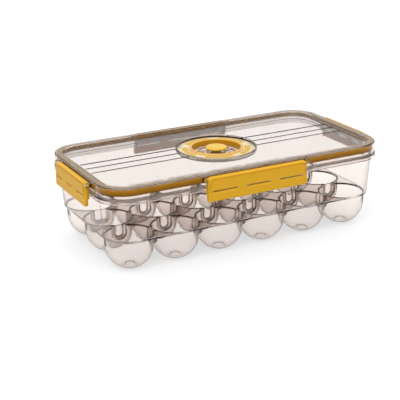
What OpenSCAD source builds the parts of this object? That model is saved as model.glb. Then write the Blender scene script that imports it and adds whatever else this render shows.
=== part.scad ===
// Refrigerator storage box for eggs: a clear moulded tray with a grid of round cups, a clear
// clip-on lid with a silicone gasket, four hinged latches and a dial with a turning air vent.
// Millimetres. X runs along the length, the front faces -Y, and Z = 0 is what the cups stand on.
// Every wall line of the tray, gasket, lid and latches is an offset from one rounded core, whose
// corner centres are (core_x, core_y), so each ring-shaped piece is one section swept round it.

/* [Egg cups] */
// Number of cups along the length
cup_columns = 6; // [5:1:8]
// Number of cups across the width
cup_rows = 3; // [3:1:5]
// Distance between the centres of neighbouring cups
cup_pitch = 49.2; // [48.6:0.1:56]
// Outside radius of a cup's round bowl
bowl_radius = 24; // [22:0.1:24.2]
// Height of the centre of the bowl above the ground
bowl_centre = 23; // [21:0.1:23.6]
// Wall of a cup
cup_wall = 1.6; // [1.2:0.1:2]
// Thickness of a cup's flat floor
cup_floor = 2.2; // [1.8:0.1:3]
// How much a cup widens from its bowl to the deck
cup_flare = 0.5; // [0:0.1:0.5]
// How much more a cup's opening widens than its outside
mouth_flare = 0.6; // [0:0.1:0.8]
// Height of the deck that joins the cups
deck_height = 34; // [30:0.5:40]
// Thickness of the deck
deck_thick = 1.8; // [1.4:0.1:2.5]
// Half width of the open U-shaped saddle between two neighbouring cups
web_radius = 6.2; // [3:0.1:6.4]
// Height of the lowest point of that saddle above the ground
web_low = 20; // [17:0.5:22]
// Wall of that saddle
web_wall = 1.6; // [1:0.1:2]
// Length of that wall along the line from cup to cup, before the cups are hollowed
web_thick = 5; // [4.4:0.1:6]
// Radius of the moulding dimple under each cup
dimple_radius = 5.4; // [3:0.1:6]
// Width of the sloping edge of that dimple
dimple_slope = 1.4; // [0.2:0.1:1.8]
// Depth of that dimple
dimple_depth = 0.6; // [0.2:0.1:0.8]

/* [Tray] */
// Overall height of the box with its lid on
total_height = 90; // [80:1:110]
// Strip of deck beyond the cups at each end
end_land = 1.8; // [1.2:0.1:4]
// Strip of deck beyond the cups at the front and the rear
side_land = 0.6; // [0.5:0.1:4]
// Corner radius of the tray at the deck
deck_corner = 23.2; // [22:0.1:27]
// Thickness of the outer wall
wall_thick = 1.7; // [1.5:0.1:2]
// How far the outer wall leans out from the deck to the rim
wall_flare = 3.1; // [2:0.1:4]
// Radius of the outer edge under the deck
foot_round = 1.6; // [0.8:0.1:1.8]
// How far the flange reaches out of the wall
flange_reach = 4.3; // [3.8:0.1:4.6]
// Width of the flat on top of the rim
rim_flat = 0.7; // [0.3:0.1:1]
// Thickness of the flange and of its lip
flange_thick = 1.7; // [1.2:0.1:2]
// Height of the flange with its turned-down lip
flange_lip = 4.7; // [3.5:0.1:6]

/* [Lid] */
// Thickness of the lid's outer skirt
skirt_wall = 1.7; // [1.2:0.1:2.2]
// Height of the skirt from its lower edge to the top of the lid
skirt_height = 11.4; // [10.5:0.1:14]
// Thickness of the top of the rim
rim_plate = 1.8; // [1.4:0.1:2.4]
// Thickness of the wall inside the gasket
plug_wall = 1.8; // [1.4:0.1:2.4]
// Height of that wall below the top of the lid
plug_height = 9.8; // [8.8:0.1:12]
// Rounding of the rim's two upper edges
rim_round = 1.5; // [0.6:0.1:1.7]
// How far the panel lies below the rim
panel_drop = 2.5; // [1:0.1:4]
// Thickness of the panel
panel_thick = 2; // [1.5:0.1:2.5]
// Distance between the three ribs on the panel
rib_spacing = 14.6; // [8:0.1:18]
// Radius of the ribs
rib_radius = 0.9; // [0.6:0.1:1.2]
// Height of a rib above the panel
rib_height = 0.6; // [0.3:0.1:0.8]
// Distance from the rim to the end of the ribs
rib_margin = 2.5; // [1:0.1:10]
// Gap between the skirt and the tray's flange below it
skirt_gap = 0.4; // [0.3:0.05:1]

/* [Gasket] */
// Thickness of the gasket's two legs
gasket_leg = 1.4; // [1:0.1:1.8]
// Thickness of its crown, under the top of the rim
gasket_crown = 1.8; // [1.2:0.1:2.4]
// Height of its outer leg
outer_leg_height = 6.6; // [4:0.1:7.5]
// Height of its inner leg
inner_leg_height = 5.7; // [4:0.1:6.5]
// Clearance between the gasket's legs and the tray's rim
seal_gap = 0.3; // [0.2:0.05:0.5]
// Clearance between the gasket and the walls of its channel
channel_gap = 0.1; // [0.05:0.05:0.2]

/* [Latches] */
// Width of the front and rear latches
long_latch_width = 111; // [80:1:130]
// Width of the side latches
short_latch_width = 78; // [50:1:84]
// Height of a latch
latch_height = 24.5; // [22:0.1:28]
// How far a latch stands out of the lid
latch_stand = 6.5; // [6.4:0.1:6.6]
// Distance from the top of the lid to the top of a latch
latch_drop = 1.5; // [1:0.1:3]
// Thickness of a latch's face
latch_face = 1.8; // [1.4:0.1:2.2]
// Radius of a latch's upper corners seen from the front
latch_corner = 5; // [3:0.1:8]
// Radius of its lower corners
tab_corner = 2.5; // [1:0.1:4]
// Thickness of the cheeks at a latch's ends
cheek_wall = 1.8; // [1.2:0.1:2.5]
// Radius of the barrel that a latch turns on
barrel_radius = 2.9; // [2.5:0.1:3]
// Distance from the lid's skirt to the hinge line
hinge_stand = 3.35; // [3.3:0.05:3.4]
// Radius of the hinge stubs at a latch's ends
stub_radius = 1.3; // [1:0.1:1.5]
// Clearance of a stub in its lug
stub_gap = 0.06; // [0.02:0.01:0.1]
// Wall of a lug round its bore
lug_wall = 0.9; // [0.8:0.1:1.1]
// Length of a lug along the hinge line
lug_length = 2.8; // [2.5:0.1:5]
// Distance from the end of a stub to the end of its lug
stub_inset = 0.3; // [0:0.1:0.8]
// How much shallower a cheek is beside the pull tab
tab_inset = 1.6; // [0.5:0.1:3]
// Height of the catch that reaches towards the flange
catch_height = 2.2; // [1.6:0.1:3]
// Clearance of a latch round the lid and the tray's flange
latch_gap = 0.3; // [0.25:0.05:0.5]
// Height of the slots in a latch's face
slot_height = 1.4; // [1:0.1:2.5]
// Height of the sloped groove below each slot
slot_slope = 1.8; // [0.5:0.1:2.5]
// Depth of that groove
slot_groove = 0.9; // [0.3:0.1:1.2]
// Distance from the catch up to a slot
slot_rise = 0.3; // [0.2:0.1:1.5]
// Bare strip between two slots
slot_bridge = 10.4; // [6:0.1:14]
// Bare strip between the last slot and a latch's end
slot_margin = 4.5; // [3:0.1:8]

/* [Dial] */
// Outside radius of the lid's round collar
collar_radius = 42; // [38:0.1:46]
// Wall of the collar
collar_wall = 1.4; // [1.2:0.1:2]
// Height of the collar above the panel
collar_rise = 1.5; // [0.5:0.1:2.2]
// Depth of the well below the top of the collar
recess_depth = 8.9; // [8.6:0.1:10]
// Thickness of the floor of the well and of the shelf round it
recess_floor = 1.8; // [1.4:0.1:2]
// Radius of the opening in the turning ring
ring_opening = 25.2; // [24:0.1:27]
// Distance from the top of the collar to the top of the ring
ring_drop = 2.6; // [1.5:0.1:3.5]
// Wall of the ring
ring_wall = 1.6; // [1.2:0.1:2]
// Width of the raised lip round the opening
lip_width = 3; // [2.4:0.1:3.6]
// Height of that lip above the ring
lip_height = 2.3; // [1:0.1:2.4]
// Number of raised pads round the ring
pad_count = 5; // [3:1:8]
// Angle that a pad covers
pad_angle = 52; // [20:1:52]
// Height of the pads
pad_height = 0.5; // [0.3:0.1:1]
// Distance from the raised lip to the pads
pad_inset = 1.8; // [1:0.1:3]
// Distance from the pads to the edge of the ring
pad_border = 2.4; // [1.5:0.1:4]
// Direction in which the middle of the first pad lies
pad_turn = -113; // [-180:1:180]
// Clearance round the ring
ring_gap = 0.3; // [0.2:0.05:0.5]
// Radius of the bead on the collar that holds the ring down
snap_radius = 0.5; // [0.4:0.05:0.5]
// Rounding of the lower edges of the well and of the collar
well_round = 1.2; // [0.6:0.1:1.3]

/* [Vent] */
// Number of air windows
window_count = 5; // [3:1:6]
// Angle that a window covers
window_angle = 30; // [15:1:32]
// Inner radius of the windows
window_inner = 12.6; // [12:0.1:15]
// Outer radius of the windows
window_outer = 21.6; // [18:0.1:22]
// Radius of the shutter
shutter_radius = 24.6; // [23.5:0.1:24.8]
// Thickness of the shutter
shutter_thick = 1.4; // [1:0.1:2]
// Radius of the shutter's dish under the knob
dish_radius = 11.3; // [9:0.1:12]
// Height of that dish
dish_height = 2.4; // [1.5:0.1:2.6]
// Width of the sloping wall of that dish
dish_slope = 1.3; // [1:0.1:2]
// Radius of the hollow in that dish
dish_hollow = 6; // [5.8:0.1:7]
// Height of the shutter's boss round the stem
boss_height = 1.5; // [1:0.1:2]
// Wall of that boss
boss_wall = 1.6; // [1:0.1:1.8]
// Radius of the knob's head
knob_radius = 11.2; // [9:0.1:12]
// Thickness of the knob's head
knob_head = 2.8; // [2:0.1:4]
// Rounding of the knob's upper edge
knob_round = 1; // [0.5:0.1:1.3]
// Distance from the top of the collar to the top of the knob
knob_drop = 0.2; // [0:0.1:1]
// Radius of the knob's stem
stem_radius = 4; // [3:0.1:4.4]
// Clearance of the stem in the floor
stem_gap = 0.06; // [0.02:0.01:0.1]
// How far the stem reaches below the floor of the well
stem_reach = 2; // [1.8:0.1:3]
// Thickness of the washer that seals the shutter
washer_thick = 0.4; // [0.3:0.1:0.6]
// Thickness of the clip that holds the knob down
clip_thick = 1.2; // [0.8:0.1:1.6]
// Width of that clip round the stem
clip_reach = 3.2; // [2:0.1:6]
// Clearance between that clip and the floor
clip_gap = 0.15; // [0.05:0.05:0.2]
// Width of the floor that the washer leaves bare round the stem
washer_inset = 0.8; // [0.4:0.1:2]
// Distance from the washer to the windows
washer_border = 1.6; // [1:0.1:3]

/* [Hidden] */
$fn = 64;
eps = 0.01;

// Core of the plan, and offsets from it
core_x = cup_columns * cup_pitch / 2 + end_land - deck_corner;
core_y = cup_rows * cup_pitch / 2 + side_land - deck_corner;
rim_out = deck_corner + wall_flare;
rim_in = rim_out - wall_thick;
flange_out = rim_out + flange_reach;
channel_out = rim_out + seal_gap + gasket_leg + channel_gap;
channel_in = rim_in - seal_gap - gasket_leg - channel_gap;
lid_out = channel_out + skirt_wall;
lid_in = channel_in - plug_wall;
latch_out = lid_out + latch_stand;
hinge_line = lid_out + hinge_stand;
catch_in = max(flange_out, lid_out) + latch_gap;

// Heights
ceiling = total_height - rim_plate;
rim_top = ceiling - gasket_crown;
skirt_low = total_height - skirt_height;
flange_top = skirt_low - skirt_gap;
flange_low = flange_top - flange_lip;
panel_top = total_height - panel_drop;
latch_top = total_height - latch_drop;
latch_low = latch_top - latch_height;
hinge_height = latch_top - barrel_radius;
catch_top = flange_low - latch_gap;
collar_top = panel_top + collar_rise;
recess_low = collar_top - recess_depth;
recess_in = collar_radius - collar_wall;
ring_top = collar_top - ring_drop;
ring_low = recess_low + ring_gap;
ring_out = recess_in - ring_gap;
shelf_top = ring_top - ring_wall - ring_gap;
well_in = ring_opening + ring_wall + ring_gap;
well_out = well_in + collar_wall;
shutter_low = recess_low + washer_thick + stem_gap;
shutter_top = shutter_low + shutter_thick;
boss_top = shutter_top + boss_height;
knob_top = collar_top - knob_drop;
stem_low = recess_low - recess_floor - stem_reach;

// Cups
bowl_inner = bowl_radius - cup_wall;
cup_top = bowl_radius + cup_flare;
mouth_top = bowl_inner + cup_flare + mouth_flare;
web_centre = web_low + web_radius;
saddle_length = cup_pitch - 2 * sqrt(pow(bowl_inner, 2) - pow(web_radius, 2)) + 2;

// Sweeps a section, drawn as (offset from the core, height), round the whole core
module sweep() {
    for (side = [0, 1]) rotate(180 * side) {
        translate([core_x, core_y]) rotate_extrude(angle = 90) children();
        translate([-core_x, core_y]) rotate(90) rotate_extrude(angle = 90) children();
        translate([-core_x, core_y]) rotate([90, 0, 90]) linear_extrude(2 * core_x) children();
        translate([core_x, core_y]) rotate([90, 0, 0]) linear_extrude(2 * core_y) children();
    }
}

// A flat plate with the core's outline moved out by an offset
module plate(offset_out, low, high) {
    translate([0, 0, low]) linear_extrude(high - low) {
        square([2 * core_x, 2 * (core_y + offset_out)], center = true);
        square([2 * (core_x + offset_out), 2 * core_y], center = true);
        for (x = [-core_x, core_x], y = [-core_y, core_y])
            translate([x, y]) circle(offset_out);
    }
}

// A bar of a section from one corner to the other, given as (offset, height) pairs
module bar(a, b) {
    translate(a) square(b - a);
}

// Places a child at every cup
module at_cups() {
    for (column = [0 : cup_columns - 1], row = [0 : cup_rows - 1])
        translate([(column - (cup_columns - 1) / 2) * cup_pitch,
                   (row - (cup_rows - 1) / 2) * cup_pitch, 0])
            children();
}

// A round bowl cut flat below, under a slightly flared neck
module cup_form(radius, low, top_radius, top) {
    intersection() {
        translate([0, 0, bowl_centre]) sphere(radius);
        translate([0, 0, low]) cylinder(r = radius + 1, h = bowl_centre - low);
    }
    translate([0, 0, bowl_centre])
        cylinder(r1 = radius, r2 = top_radius, h = top - bowl_centre);
}

// A U between two cups, seen along the line that joins them, up to a height
module web(radius, thick, top) {
    rotate([90, 0, 90]) translate([0, 0, -thick / 2]) linear_extrude(thick)
        intersection() {
            union() {
                translate([0, web_centre]) circle(radius);
                bar([-radius, web_centre], [radius, top]);
            }
            bar([-radius - 1, web_centre - radius - 1], [radius + 1, top]);
        }
}

module webs(radius, thick, top) {
    for (column = [0 : cup_columns - 2], row = [0 : cup_rows - 1])
        translate([(column - (cup_columns - 2) / 2) * cup_pitch,
                   (row - (cup_rows - 1) / 2) * cup_pitch, 0])
            web(radius, thick, top);
    for (column = [0 : cup_columns - 1], row = [0 : cup_rows - 2])
        translate([(column - (cup_columns - 1) / 2) * cup_pitch,
                   (row - (cup_rows - 2) / 2) * cup_pitch, 0])
            rotate(90) web(radius, thick, top);
}

// Section of the tray's wall, rim and flange
module tray_section() {
    deck_low = deck_height - deck_thick;
    rim_round = (wall_thick - rim_flat) / 2;
    polygon([
        [deck_corner - wall_thick, deck_height],
        [rim_in, flange_low],
        [rim_out, flange_low],
        [deck_corner, deck_height],
        [deck_corner, deck_low + foot_round],
        [deck_corner - wall_thick, deck_low + foot_round]
    ]);
    bar([deck_corner - wall_thick - 1, deck_low], [deck_corner - foot_round, deck_height]);
    intersection() {
        translate([deck_corner - foot_round, deck_low + foot_round]) circle(foot_round);
        bar([deck_corner - foot_round - eps, deck_low],
            [deck_corner + eps, deck_low + foot_round + eps]);
    }
    bar([rim_in, flange_low - eps], [rim_out, rim_top - rim_round]);
    bar([rim_in + rim_round, flange_low], [rim_out - rim_round, rim_top]);
    for (x = [rim_in + rim_round, rim_out - rim_round])
        translate([x, rim_top - rim_round]) circle(rim_round);
    bar([rim_in + eps, flange_top - flange_thick], [flange_out - flange_thick / 2, flange_top]);
    bar([flange_out - flange_thick, flange_low + flange_thick / 2],
        [flange_out, flange_top - flange_thick / 2]);
    for (height = [flange_low, flange_top - flange_thick])
        translate([flange_out - flange_thick / 2, height + flange_thick / 2])
            circle(flange_thick / 2);
}

module tray() {
    color([0.86, 0.76, 0.68, 0.5])
    difference() {
        union() {
            plate(deck_corner - wall_thick, deck_height - deck_thick, deck_height);
            sweep() tray_section();
            at_cups() cup_form(bowl_radius, 0, cup_top, deck_height - deck_thick / 2);
            webs(web_radius + web_wall, web_thick, deck_height - deck_thick / 2);
        }
        at_cups() {
            cup_form(bowl_inner, cup_floor, mouth_top, deck_height + eps);
            translate([0, 0, -eps])
                cylinder(r1 = dimple_radius, r2 = dimple_radius - dimple_slope,
                         h = dimple_depth + eps);
        }
        webs(web_radius, saddle_length, deck_height + 1);
    }
}

// Section of the lid's rim: skirt, rounded top and the wall inside the gasket
module rim_section() {
    difference() {
        union() {
            bar([lid_in, total_height - plug_height], [channel_in, total_height - rim_round]);
            bar([lid_in, skirt_low], [lid_out, total_height - rim_round]);
            bar([lid_in + rim_round, ceiling], [lid_out - rim_round, total_height]);
            for (x = [lid_in + rim_round, lid_out - rim_round])
                translate([x, total_height - rim_round]) circle(rim_round);
        }
        bar([channel_in, skirt_low - 1], [channel_out, ceiling]);
        bar([lid_in - 1, skirt_low - 1], [channel_in + eps, total_height - plug_height]);
    }
}

// Turns a child to face each side: front, rear, left and right
module on_side(side) {
    turn = side == "front" ? -90 : side == "rear" ? 90 : side == "left" ? 180 : 0;
    depth = (side == "front" || side == "rear") ? core_y : core_x;
    rotate(turn) translate([depth, 0, 0]) children();
}

// The two lugs of one latch, with a bore on the hinge line
module lugs(latch_width) {
    outer = stub_radius + stub_gap + lug_wall;
    for (end = [-1, 1])
        translate([0, end * (latch_width / 2 + latch_gap + lug_length / 2), 0])
            rotate([90, 0, 0]) translate([0, 0, -lug_length / 2])
                linear_extrude(lug_length) difference() {
                    union() {
                        translate([hinge_line, hinge_height]) circle(outer);
                        bar([lid_out - skirt_wall / 2, hinge_height - outer],
                            [hinge_line, hinge_height + outer]);
                    }
                    translate([hinge_line, hinge_height]) circle(stub_radius + stub_gap);
                }
}

// Air windows between two heights
module windows(low, high, turn) {
    for (k = [0 : window_count - 1])
        rotate(k * 360 / window_count + turn - window_angle / 2)
            translate([0, 0, low])
                rotate_extrude(angle = window_angle)
                    translate([window_inner, 0]) square([window_outer - window_inner, high - low]);
}

// Section of the collar, the shelf under the ring and the well inside it
module recess_section() {
    shelf_low = shelf_top - recess_floor;
    well_low = recess_low - recess_floor;
    bar([stem_radius + stem_gap, well_low], [well_out - well_round, recess_low]);
    bar([well_in, well_low + well_round], [well_out, shelf_top]);
    bar([well_in, shelf_low], [collar_radius - well_round, shelf_top]);
    bar([recess_in, shelf_low + well_round], [collar_radius, collar_top - collar_wall / 2]);
    // rounded lower edges of the well and the collar
    for (at = [[well_out, well_low], [collar_radius, shelf_low]])
        intersection() {
            translate(at + [-well_round, well_round]) circle(well_round);
            bar(at - [well_round + eps, 0], at + [0, well_round + eps]);
        }
    translate([collar_radius - collar_wall / 2, collar_top - collar_wall / 2])
        circle(collar_wall / 2);
    translate([recess_in, ring_top + ring_gap + snap_radius]) circle(snap_radius);
}

module lid() {
    color([0.95, 0.93, 0.9, 0.4])
    difference() {
        union() {
            sweep() rim_section();
            difference() {
                plate(lid_in + plug_wall / 2, panel_top - panel_thick, panel_top);
                translate([0, 0, panel_top - panel_thick - 1])
                    cylinder(r = collar_radius - collar_wall / 2, h = panel_thick + 2);
            }
            rotate_extrude() recess_section();
            // three ribs along the panel, broken by the dial
            for (side = [-1, 1], k = [-1, 0, 1]) {
                start = sqrt(pow(collar_radius, 2) - pow(k * rib_spacing, 2)) - collar_wall / 2;
                translate([side * start, k * rib_spacing, panel_top + rib_height - rib_radius])
                    rotate([0, side * 90, 0])
                        cylinder(r = rib_radius, h = core_x + lid_in - rib_margin - start);
            }
            for (side = ["front", "rear"]) on_side(side) lugs(long_latch_width);
            for (side = ["left", "right"]) on_side(side) lugs(short_latch_width);
        }
        windows(recess_low - recess_floor - 1, recess_low + 1, 0);
    }
}

module lid_gasket() {
    leg_in = channel_in + channel_gap;
    leg_out = channel_out - channel_gap;
    color([0.78, 0.56, 0.2])
    sweep() {
        bar([leg_in, ceiling - gasket_crown], [leg_out, ceiling]);
        bar([leg_out - gasket_leg, ceiling - outer_leg_height + gasket_leg / 2], [leg_out, ceiling]);
        bar([leg_in, ceiling - inner_leg_height + gasket_leg / 2], [leg_in + gasket_leg, ceiling]);
        translate([leg_out - gasket_leg / 2, ceiling - outer_leg_height + gasket_leg / 2])
            circle(gasket_leg / 2);
        translate([leg_in + gasket_leg / 2, ceiling - inner_leg_height + gasket_leg / 2])
            circle(gasket_leg / 2);
    }
}

// Section of a latch's cheeks: full depth down to the catch, shallower beside the pull tab
module cheek_section() {
    tab_in = catch_in + tab_inset;
    translate([hinge_line, hinge_height]) circle(barrel_radius);
    bar([catch_in, catch_top - catch_height], [latch_out - eps, hinge_height - barrel_radius * 0.75]);
    bar([tab_in, latch_low], [latch_out - eps, hinge_height]);
}

// Section of a latch between its cheeks: face, top and hinge barrel
module face_section() {
    translate([hinge_line, hinge_height]) circle(barrel_radius);
    translate([latch_out - barrel_radius, hinge_height]) circle(barrel_radius);
    bar([min(hinge_line, latch_out - barrel_radius), hinge_height - barrel_radius],
        [max(hinge_line, latch_out - barrel_radius), latch_top]);
    bar([latch_out - latch_face, latch_low], [latch_out, hinge_height]);
}

// Section of a catch: a rib off the face with a rounded nose
module catch_section() {
    nose = catch_height / 2;
    translate([catch_in + nose, catch_top - nose]) circle(nose);
    bar([catch_in + nose, catch_top - catch_height], [latch_out - latch_face / 2, catch_top]);
}

// Section of a slot through the face, with a groove that slopes down and out of it
module slot_section() {
    low = catch_top + slot_rise;
    polygon([
        [latch_out - latch_face - 1, low],
        [latch_out - slot_groove, low],
        [latch_out + eps, low - slot_slope],
        [latch_out + eps, low + slot_height],
        [latch_out - latch_face - 1, low + slot_height]
    ]);
}

// Extrudes a section along a latch between two positions on its width
module along(from, to) {
    translate([0, from, 0]) rotate([90, 0, 180]) mirror([1, 0, 0])
        linear_extrude(to - from) children();
}

module latch(width) {
    half = width / 2;
    slot_side = (width - 2 * slot_margin - 2 * slot_bridge) / 3;
    color([0.92, 0.7, 0.16]) {
        difference() {
            intersection() {
                union() {
                    along(-half, half) face_section();
                    along(-half, -half + cheek_wall) cheek_section();
                    along(half - cheek_wall, half) cheek_section();
                    for (k = [-1, 0, 1])
                        along(k * (slot_side + slot_bridge) - slot_side / 2,
                              k * (slot_side + slot_bridge) + slot_side / 2)
                            catch_section();
                }
                // rounded corners seen from the front
                translate([hinge_line - barrel_radius - 1, 0, 0]) rotate([90, 0, 90])
                    linear_extrude(latch_stand + barrel_radius + 2) {
                        bar([-half, latch_low + tab_corner], [half, latch_top - latch_corner]);
                        bar([-half + tab_corner, latch_low], [half - tab_corner, latch_top - latch_corner]);
                        bar([-half + latch_corner, latch_low + tab_corner],
                            [half - latch_corner, latch_top]);
                        for (y = [-1, 1]) {
                            translate([y * (half - latch_corner), latch_top - latch_corner])
                                circle(latch_corner);
                            translate([y * (half - tab_corner), latch_low + tab_corner])
                                circle(tab_corner);
                        }
                    }
            }
            for (k = [-1, 0, 1])
                along(k * (slot_side + slot_bridge) - slot_side / 2,
                      k * (slot_side + slot_bridge) + slot_side / 2)
                    slot_section();
        }
        for (end = [-1, 1])
            translate([hinge_line, end * (half - cheek_wall), hinge_height])
                rotate([end * -90, 0, 0])
                    cylinder(r = stub_radius, h = cheek_wall + latch_gap + lug_length - stub_inset);
    }
}

module front_latch() { on_side("front") latch(long_latch_width); }
module rear_latch() { on_side("rear") latch(long_latch_width); }
module left_latch() { on_side("left") latch(short_latch_width); }
module right_latch() { on_side("right") latch(short_latch_width); }

module dial_ring() {
    lip_top = ring_top + lip_height;
    lip_round = lip_width / 2;
    pad_in = ring_opening + lip_width + pad_inset;
    pad_out = ring_out - pad_border;
    color([0.93, 0.74, 0.22]) {
        rotate_extrude() {
            bar([ring_opening, ring_top - ring_wall], [ring_out, ring_top]);
            bar([ring_opening, ring_low], [ring_opening + ring_wall, lip_top - lip_round]);
            bar([ring_opening, ring_top - eps], [ring_opening + lip_width, lip_top - lip_round]);
            translate([ring_opening + lip_round, lip_top - lip_round]) circle(lip_round);
        }
        for (k = [0 : pad_count - 1])
            rotate(k * 360 / pad_count - pad_angle / 2 + pad_turn)
                rotate_extrude(angle = pad_angle)
                    bar([pad_in, ring_top - eps], [pad_out, ring_top + pad_height]);
    }
}

module vent_shutter() {
    dish_top = shutter_top + dish_height;
    color([0.95, 0.94, 0.92, 0.5])
    difference() {
        rotate_extrude() {
            bar([stem_radius, shutter_low], [shutter_radius, shutter_top]);
            bar([stem_radius, shutter_low], [stem_radius + boss_wall, boss_top]);
            polygon([[dish_hollow, shutter_top - eps], [dish_radius - dish_slope, shutter_top - eps],
                     [dish_radius, dish_top], [dish_radius - 1, dish_top]]);
        }
        windows(shutter_low - 1, shutter_top + 1, 180 / window_count);
    }
}

module vent_knob() {
    under = knob_top - knob_head;
    color([0.93, 0.72, 0.18])
    rotate_extrude() {
        bar([0, under + knob_head / 2], [knob_radius - knob_round, knob_top]);
        bar([0, under], [knob_radius, knob_top - knob_round]);
        translate([knob_radius - knob_round, knob_top - knob_round]) circle(knob_round);
        polygon([[0, boss_top], [stem_radius + 0.8, boss_top], [knob_radius - 0.8, under + eps],
                 [0, under + eps]]);
        bar([0, stem_low], [stem_radius, boss_top + eps]);
    }
}

module vent_washer() {
    color([0.9, 0.88, 0.84])
    rotate_extrude() bar([stem_radius + washer_inset, recess_low],
                         [window_inner - washer_border, recess_low + washer_thick]);
}

module knob_clip() {
    clip_top = recess_low - recess_floor - clip_gap;
    color([0.96, 0.95, 0.93])
    rotate_extrude() bar([stem_radius, clip_top - clip_thick], [stem_radius + clip_reach, clip_top]);
}

tray();
lid();
lid_gasket();
front_latch();
rear_latch();
left_latch();
right_latch();
dial_ring();
vent_shutter();
vent_knob();
vent_washer();
knob_clip();
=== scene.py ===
# %% [markdown]
# # A clear egg box for the refrigerator
# The box is a clear smoky tray with round cups, a clear lid with an amber gasket, four golden
# latches and a turning dial round an air vent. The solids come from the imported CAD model, which
# already has the true sizes, so this script adds what a solid can't say: finer surfaces where
# light shows them, finishes, light, floor and the camera.

# %% Load the frame
import math
import bpy
import numpy as np
from mathutils import Matrix, Vector


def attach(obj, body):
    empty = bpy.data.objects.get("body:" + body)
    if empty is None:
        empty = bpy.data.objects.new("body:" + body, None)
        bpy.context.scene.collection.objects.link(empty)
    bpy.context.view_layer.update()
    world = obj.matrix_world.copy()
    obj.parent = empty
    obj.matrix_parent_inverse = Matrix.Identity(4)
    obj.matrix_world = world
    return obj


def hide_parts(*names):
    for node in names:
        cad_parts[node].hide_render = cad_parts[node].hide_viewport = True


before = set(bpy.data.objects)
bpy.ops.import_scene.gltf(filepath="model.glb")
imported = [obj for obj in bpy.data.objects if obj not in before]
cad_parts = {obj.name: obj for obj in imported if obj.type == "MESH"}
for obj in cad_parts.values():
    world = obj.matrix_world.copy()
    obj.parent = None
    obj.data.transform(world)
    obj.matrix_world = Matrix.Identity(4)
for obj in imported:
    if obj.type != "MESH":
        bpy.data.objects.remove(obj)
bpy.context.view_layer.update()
print("nodes", sorted(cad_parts))

# %% [markdown]
# ## Small helpers for finishes
# Every finish is one Principled surface, because that is what other programs understand. Nodes
# could be placed by hand in Blender's editor, but as code each one is a line. The helpers set
# sockets by name, so that a finish below reads like a recipe.

# %% Helpers for materials
def set_sockets(node, sockets):
    """Sets the named sockets of a node. A name has _ where the socket's own has a space."""
    for socket, value in sockets.items():
        node.inputs[socket.replace("_", " ")].default_value = value
    return node


def add_node(tree, kind, **sockets):
    """A new node of a kind whose named sockets are set."""
    return set_sockets(tree.nodes.new(kind), sockets)


def add_math(tree, operation):
    """A new node for one operation on numbers."""
    node = add_node(tree, "ShaderNodeMath")
    node.operation = operation
    return node


def principled(material):
    """The one surface of a finish."""
    return material.node_tree.nodes["Principled BSDF"]


def new_material(name, **sockets):
    """An empty material with one Principled surface whose named sockets are set."""
    material = bpy.data.materials.new(name)
    material.use_nodes = True
    set_sockets(principled(material), sockets)
    return material


# %% Colours
def rgb(red, green, blue):
    """Eight-bit display colour to the linear colour that shaders work in."""
    c = np.array([red, green, blue]) / 255.0
    linear = np.where(c <= 0.04045, c / 12.92, ((c + 0.055) / 1.055) ** 2.4)
    return (*map(float, linear), 1.0)


def set_ramp(ramp, colours):
    """Puts colours at their places on a ramp, which starts with two points."""
    points = ramp.color_ramp.elements
    points[0].position, points[0].color = colours[0]
    points[1].position, points[1].color = colours[-1]
    for position, colour in colours[1:-1]:
        points.new(position).color = colour


# %% Wear
def wear(material, scale, low, high):
    """Roughness that drifts between two values with soft noise in object space, as handling
    leaves on moulded plastic."""
    tree = material.node_tree
    place = add_node(tree, "ShaderNodeTexCoord")
    noise = add_node(tree, "ShaderNodeTexNoise", Scale=scale, Detail=3.0)
    span = add_node(tree, "ShaderNodeMapRange", To_Min=low, To_Max=high)
    tree.links.new(place.outputs["Object"], noise.inputs["Vector"])
    tree.links.new(noise.outputs["Fac"], span.inputs["Value"])
    tree.links.new(span.outputs["Result"], principled(material).inputs["Roughness"])


# %% [markdown]
# ## Clear smoky plastic
# The tray and lid are clear plastic with a faint smoke-amber tint. The tint is in the depth of
# the plastic: looked at square on, a wall is nearly colourless, and along its edge, where light
# travels far inside it, it turns brown. Absorption in the volume gives most of that. The rest
# comes from the studio: clear plastic gathers the light of its edges from the dark sides of the
# room, which draws each edge as a thin dark line. A darker room would do the same, but it would
# dull the whole box too. So these dark lines are painted shade in the surface colour: Layer Weight
# paints them where a surface turns away, and along a sharp edge the Bevel node finds the last
# millimetre.

# %% Painted shade lines of clear plastic
LINE_FROM, LINE_TO = 0.99, 0.93


# Used to paint shade where clear plastic turns away from the view of its surface.
def turning_away(tree, colours):
    """Colour by how far the surface turns away: Layer Weight's Facing, from 0 to 1, on a ramp."""
    weight = add_node(tree, "ShaderNodeLayerWeight", Blend=0.5)
    ramp = add_node(tree, "ShaderNodeValToRGB")
    set_ramp(ramp, colours)
    tree.links.new(weight.outputs["Facing"], ramp.inputs["Fac"])
    return ramp.outputs["Color"]


# A mask for the painted dark lines along sharp edges of clear plastic.
def edge_line(tree, width):
    """One along a sharp edge and nothing elsewhere. There the normal that is softened over a
    width and the true one point apart, so their dot product drops below 1."""
    softened = add_node(tree, "ShaderNodeBevel", Radius=width)
    softened.samples = 4
    shape = add_node(tree, "ShaderNodeNewGeometry")
    alike = add_node(tree, "ShaderNodeVectorMath")
    alike.operation = "DOT_PRODUCT"
    line = add_node(tree, "ShaderNodeMapRange", From_Min=LINE_FROM, From_Max=LINE_TO)
    tree.links.new(softened.outputs["Normal"], alike.inputs[0])
    tree.links.new(shape.outputs["Normal"], alike.inputs[1])
    tree.links.new(alike.outputs["Value"], line.inputs["Value"])
    return line.outputs["Result"], softened.outputs["Normal"]


# %% Clear plastic
# Painted shade: the dark colour that clear plastic takes along its edges and where it turns away, in place
# of the dark sides of the room.
PAINTED_EDGE_SHADE = rgb(40, 26, 20)
FAINT_MIRROR = (0.02, 0.02, 0.02, 1.0)
CLEAR_WEAR = 30.0


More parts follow.
